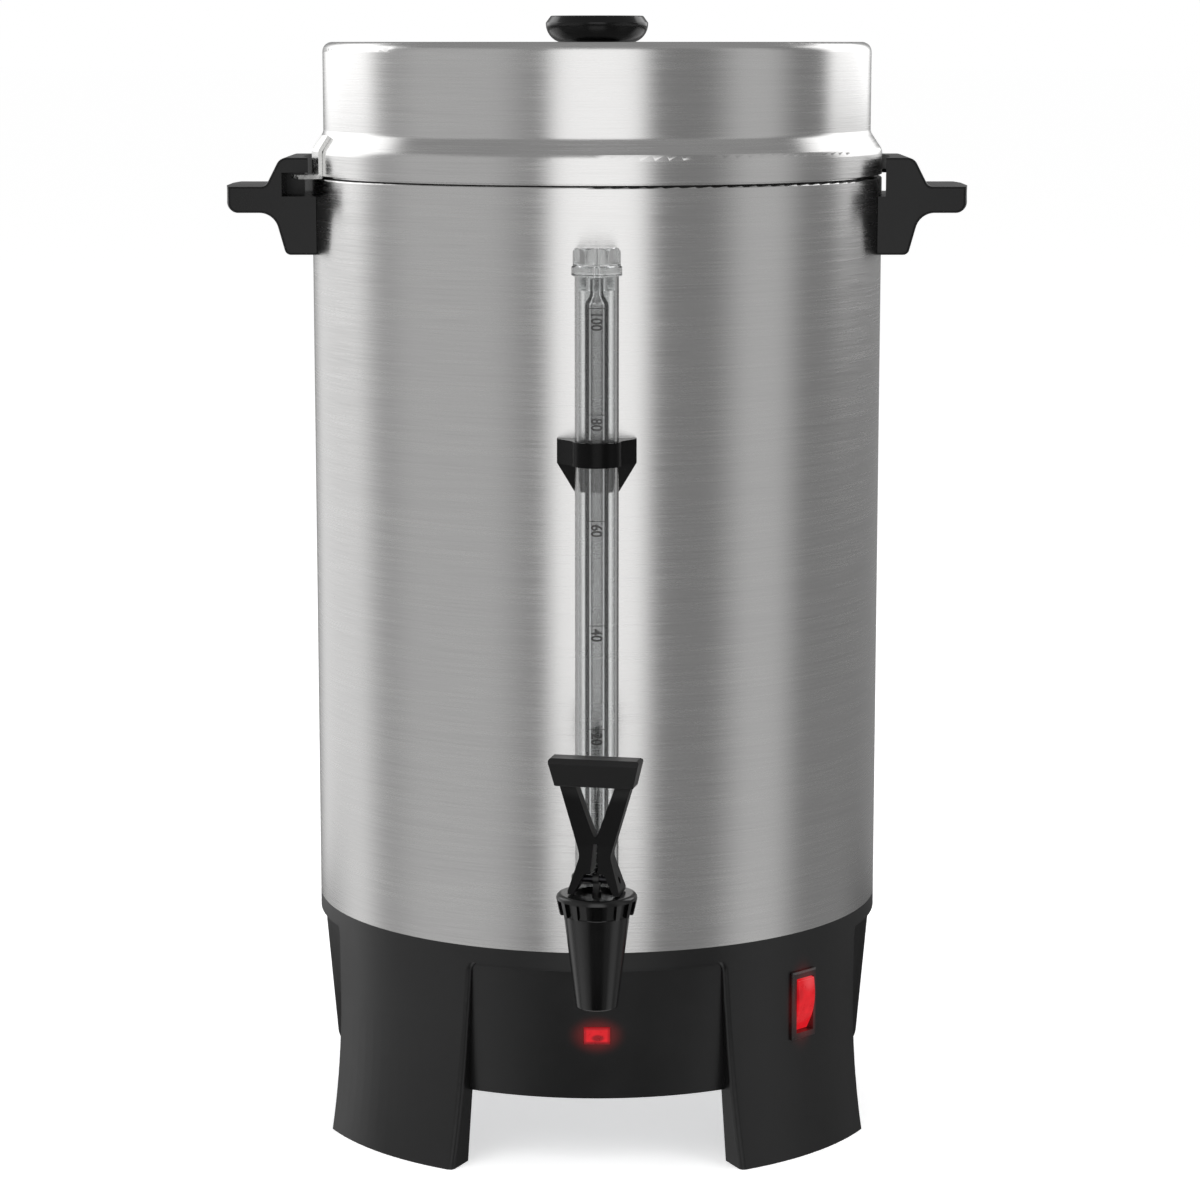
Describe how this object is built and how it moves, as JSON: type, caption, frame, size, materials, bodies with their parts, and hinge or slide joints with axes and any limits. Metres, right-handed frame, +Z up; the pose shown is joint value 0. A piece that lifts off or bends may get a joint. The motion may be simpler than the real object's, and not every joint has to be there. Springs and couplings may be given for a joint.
{
  "type": "coffee urn",
  "caption": "Tall percolating coffee urn with a lift-off twist-lock cover, side handles, front sight gauge, lever tap and four-legged heater base.",
  "frame": {"origin": "point on the floor under the axis of the tank, midway between the four legs", "axes": "+Z up along the tank axis; -Y towards the tap and sight gauge; the handles lie along X"},
  "size_m": [0.3472, 0.3376, 0.5218],
  "materials": {
    "stainless": "fine brushing that runs round the body, satin",
    "base_black": "moulded black plastic, satin",
    "handle_black": "moulded black phenolic, satin",
    "knob_black": "moulded black phenolic, glossy",
    "tap_black": "moulded black plastic, glossy",
    "inlet_black": "moulded black plastic",
    "holder_nylon": "natural nylon",
    "clear_tube": "clear plastic, smooth",
    "gauge_glass": "clear glass tube",
    "lamp_red": "translucent red lens, lit",
    "rocker_red": "translucent red rocker, lit",
    "seal_rubber": "food-grade silicone, grey",
    "plated_steel": "bright steel fasteners and tabs",
    "zinc_sheet": "zinc-coated steel sheet",
    "heater_metal": "cast aluminium heater body",
    "brass_parts": "plain brass",
    "control_ceramic": "ceramic and phenolic control bodies",
    "wire_white": "glass-braided heat-resistant wire",
    "knob_washer_fibre": "heat-resistant fibre washer",
    "stem_acetal": "black acetal",
    "percolator_aluminium": "pressed aluminium, satin"
  },
  "bodies": {
    "urn": {"vessel": "stainless", "base_skirt": "base_black", "handle_right": "handle_black", "handle_left": "handle_black", "tap_shank": "tap_black", "tap_body": "tap_black", "tap_collar": "tap_black", "gauge_clip": "tap_black", "inlet_socket": "inlet_black", "switch_housing": "inlet_black", "lamp_holder": "holder_nylon", "gauge_shield": "clear_tube", "gauge_cap": "clear_tube", "gauge_glass": "gauge_glass", "lamp_lens": "lamp_red", "gauge_seal": "seal_rubber", "shank_outer_seal": "seal_rubber", "shank_inner_seal": "seal_rubber", "tap_gasket": "seal_rubber", "vessel_studs": "plated_steel", "vessel_nuts": "plated_steel", "stud_washers": "plated_steel", "earth_lug": "plated_steel", "bottom_cover_screws": "plated_steel", "handle_screws": "plated_steel", "gauge_rivet": "plated_steel", "bottom_cover": "zinc_sheet", "heater_clamp": "zinc_sheet", "heater_ring": "heater_metal", "heater_terminals": "brass_parts", "switch_terminals": "brass_parts", "inlet_pins": "brass_parts", "handle_inserts": "brass_parts", "shank_nut": "brass_parts", "thermostat": "control_ceramic", "thermal_fuse": "control_ceramic", "wiring": "wire_white"},
    "tap_stem": {"tap_stem": "stem_acetal", "tap_valve_cup": "seal_rubber", "tap_spring": "plated_steel"},
    "tap_lever": {"tap_lever": "tap_black", "lever_pin": "plated_steel"},
    "switch_rocker": {"switch_rocker": "rocker_red"},
    "knob_washer": {"knob_washer": "knob_washer_fibre"},
    "cover": {"cover_shell": "stainless", "cover_lock_tabs": "plated_steel", "cover_knob": "knob_black", "knob_screw": "plated_steel"},
    "percolator": {"pump_foot": "percolator_aluminium", "stem_tube": "percolator_aluminium", "valve_cage": "percolator_aluminium", "stem_collar": "percolator_aluminium", "basket": "percolator_aluminium", "spreader": "percolator_aluminium"},
    "pump_valve": {"pump_valve": "percolator_aluminium"}
  },
  "joints": [
    {"name": "cover_lift", "type": "slide", "parent": "urn", "child": "knob_washer", "axis": [0, 0, 1], "range_m": [0, 0.44]},
    {"name": "cover_twist", "type": "hinge", "parent": "knob_washer", "child": "cover", "pos_m": [0, 0, 0.45], "axis": [0, 0, 1], "range_deg": [-12, 0]},
    {"name": "percolator_lift", "type": "slide", "parent": "urn", "child": "percolator", "axis": [0, 0, 1], "range_m": [0, 0.396]},
    {"name": "pump_valve_lift", "type": "slide", "parent": "percolator", "child": "pump_valve", "axis": [0, 0, 1], "range_m": [0, 0.002]},
    {"name": "tap_lever_tilt", "type": "hinge", "parent": "tap_stem", "child": "tap_lever", "pos_m": [0, -0.186, 0.1522], "axis": [0.9781, -0.2079, 0], "range_deg": [0, 30], "stiffness_Nm_per_rad": 0.3, "springref_deg": -11.46},
    {"name": "tap_stem_lift", "type": "slide", "parent": "urn", "child": "tap_stem", "axis": [0, 0, 1], "range_m": [0, 0.0035], "deforming": ["tap_spring"]},
    {"name": "power_rocker", "type": "hinge", "parent": "urn", "child": "switch_rocker", "pos_m": [0.09383, -0.09383, 0.071], "axis": [0.7071, 0.7071, 0], "range_deg": [-20, 0]}
  ],
  "couplings": [
    {"joint": "percolator_lift", "follows": "cover_lift", "ratio": 0.9},
    {"joint": "tap_stem_lift", "follows": "tap_lever_tilt", "m_per_rad": 0.006685}
  ]
}
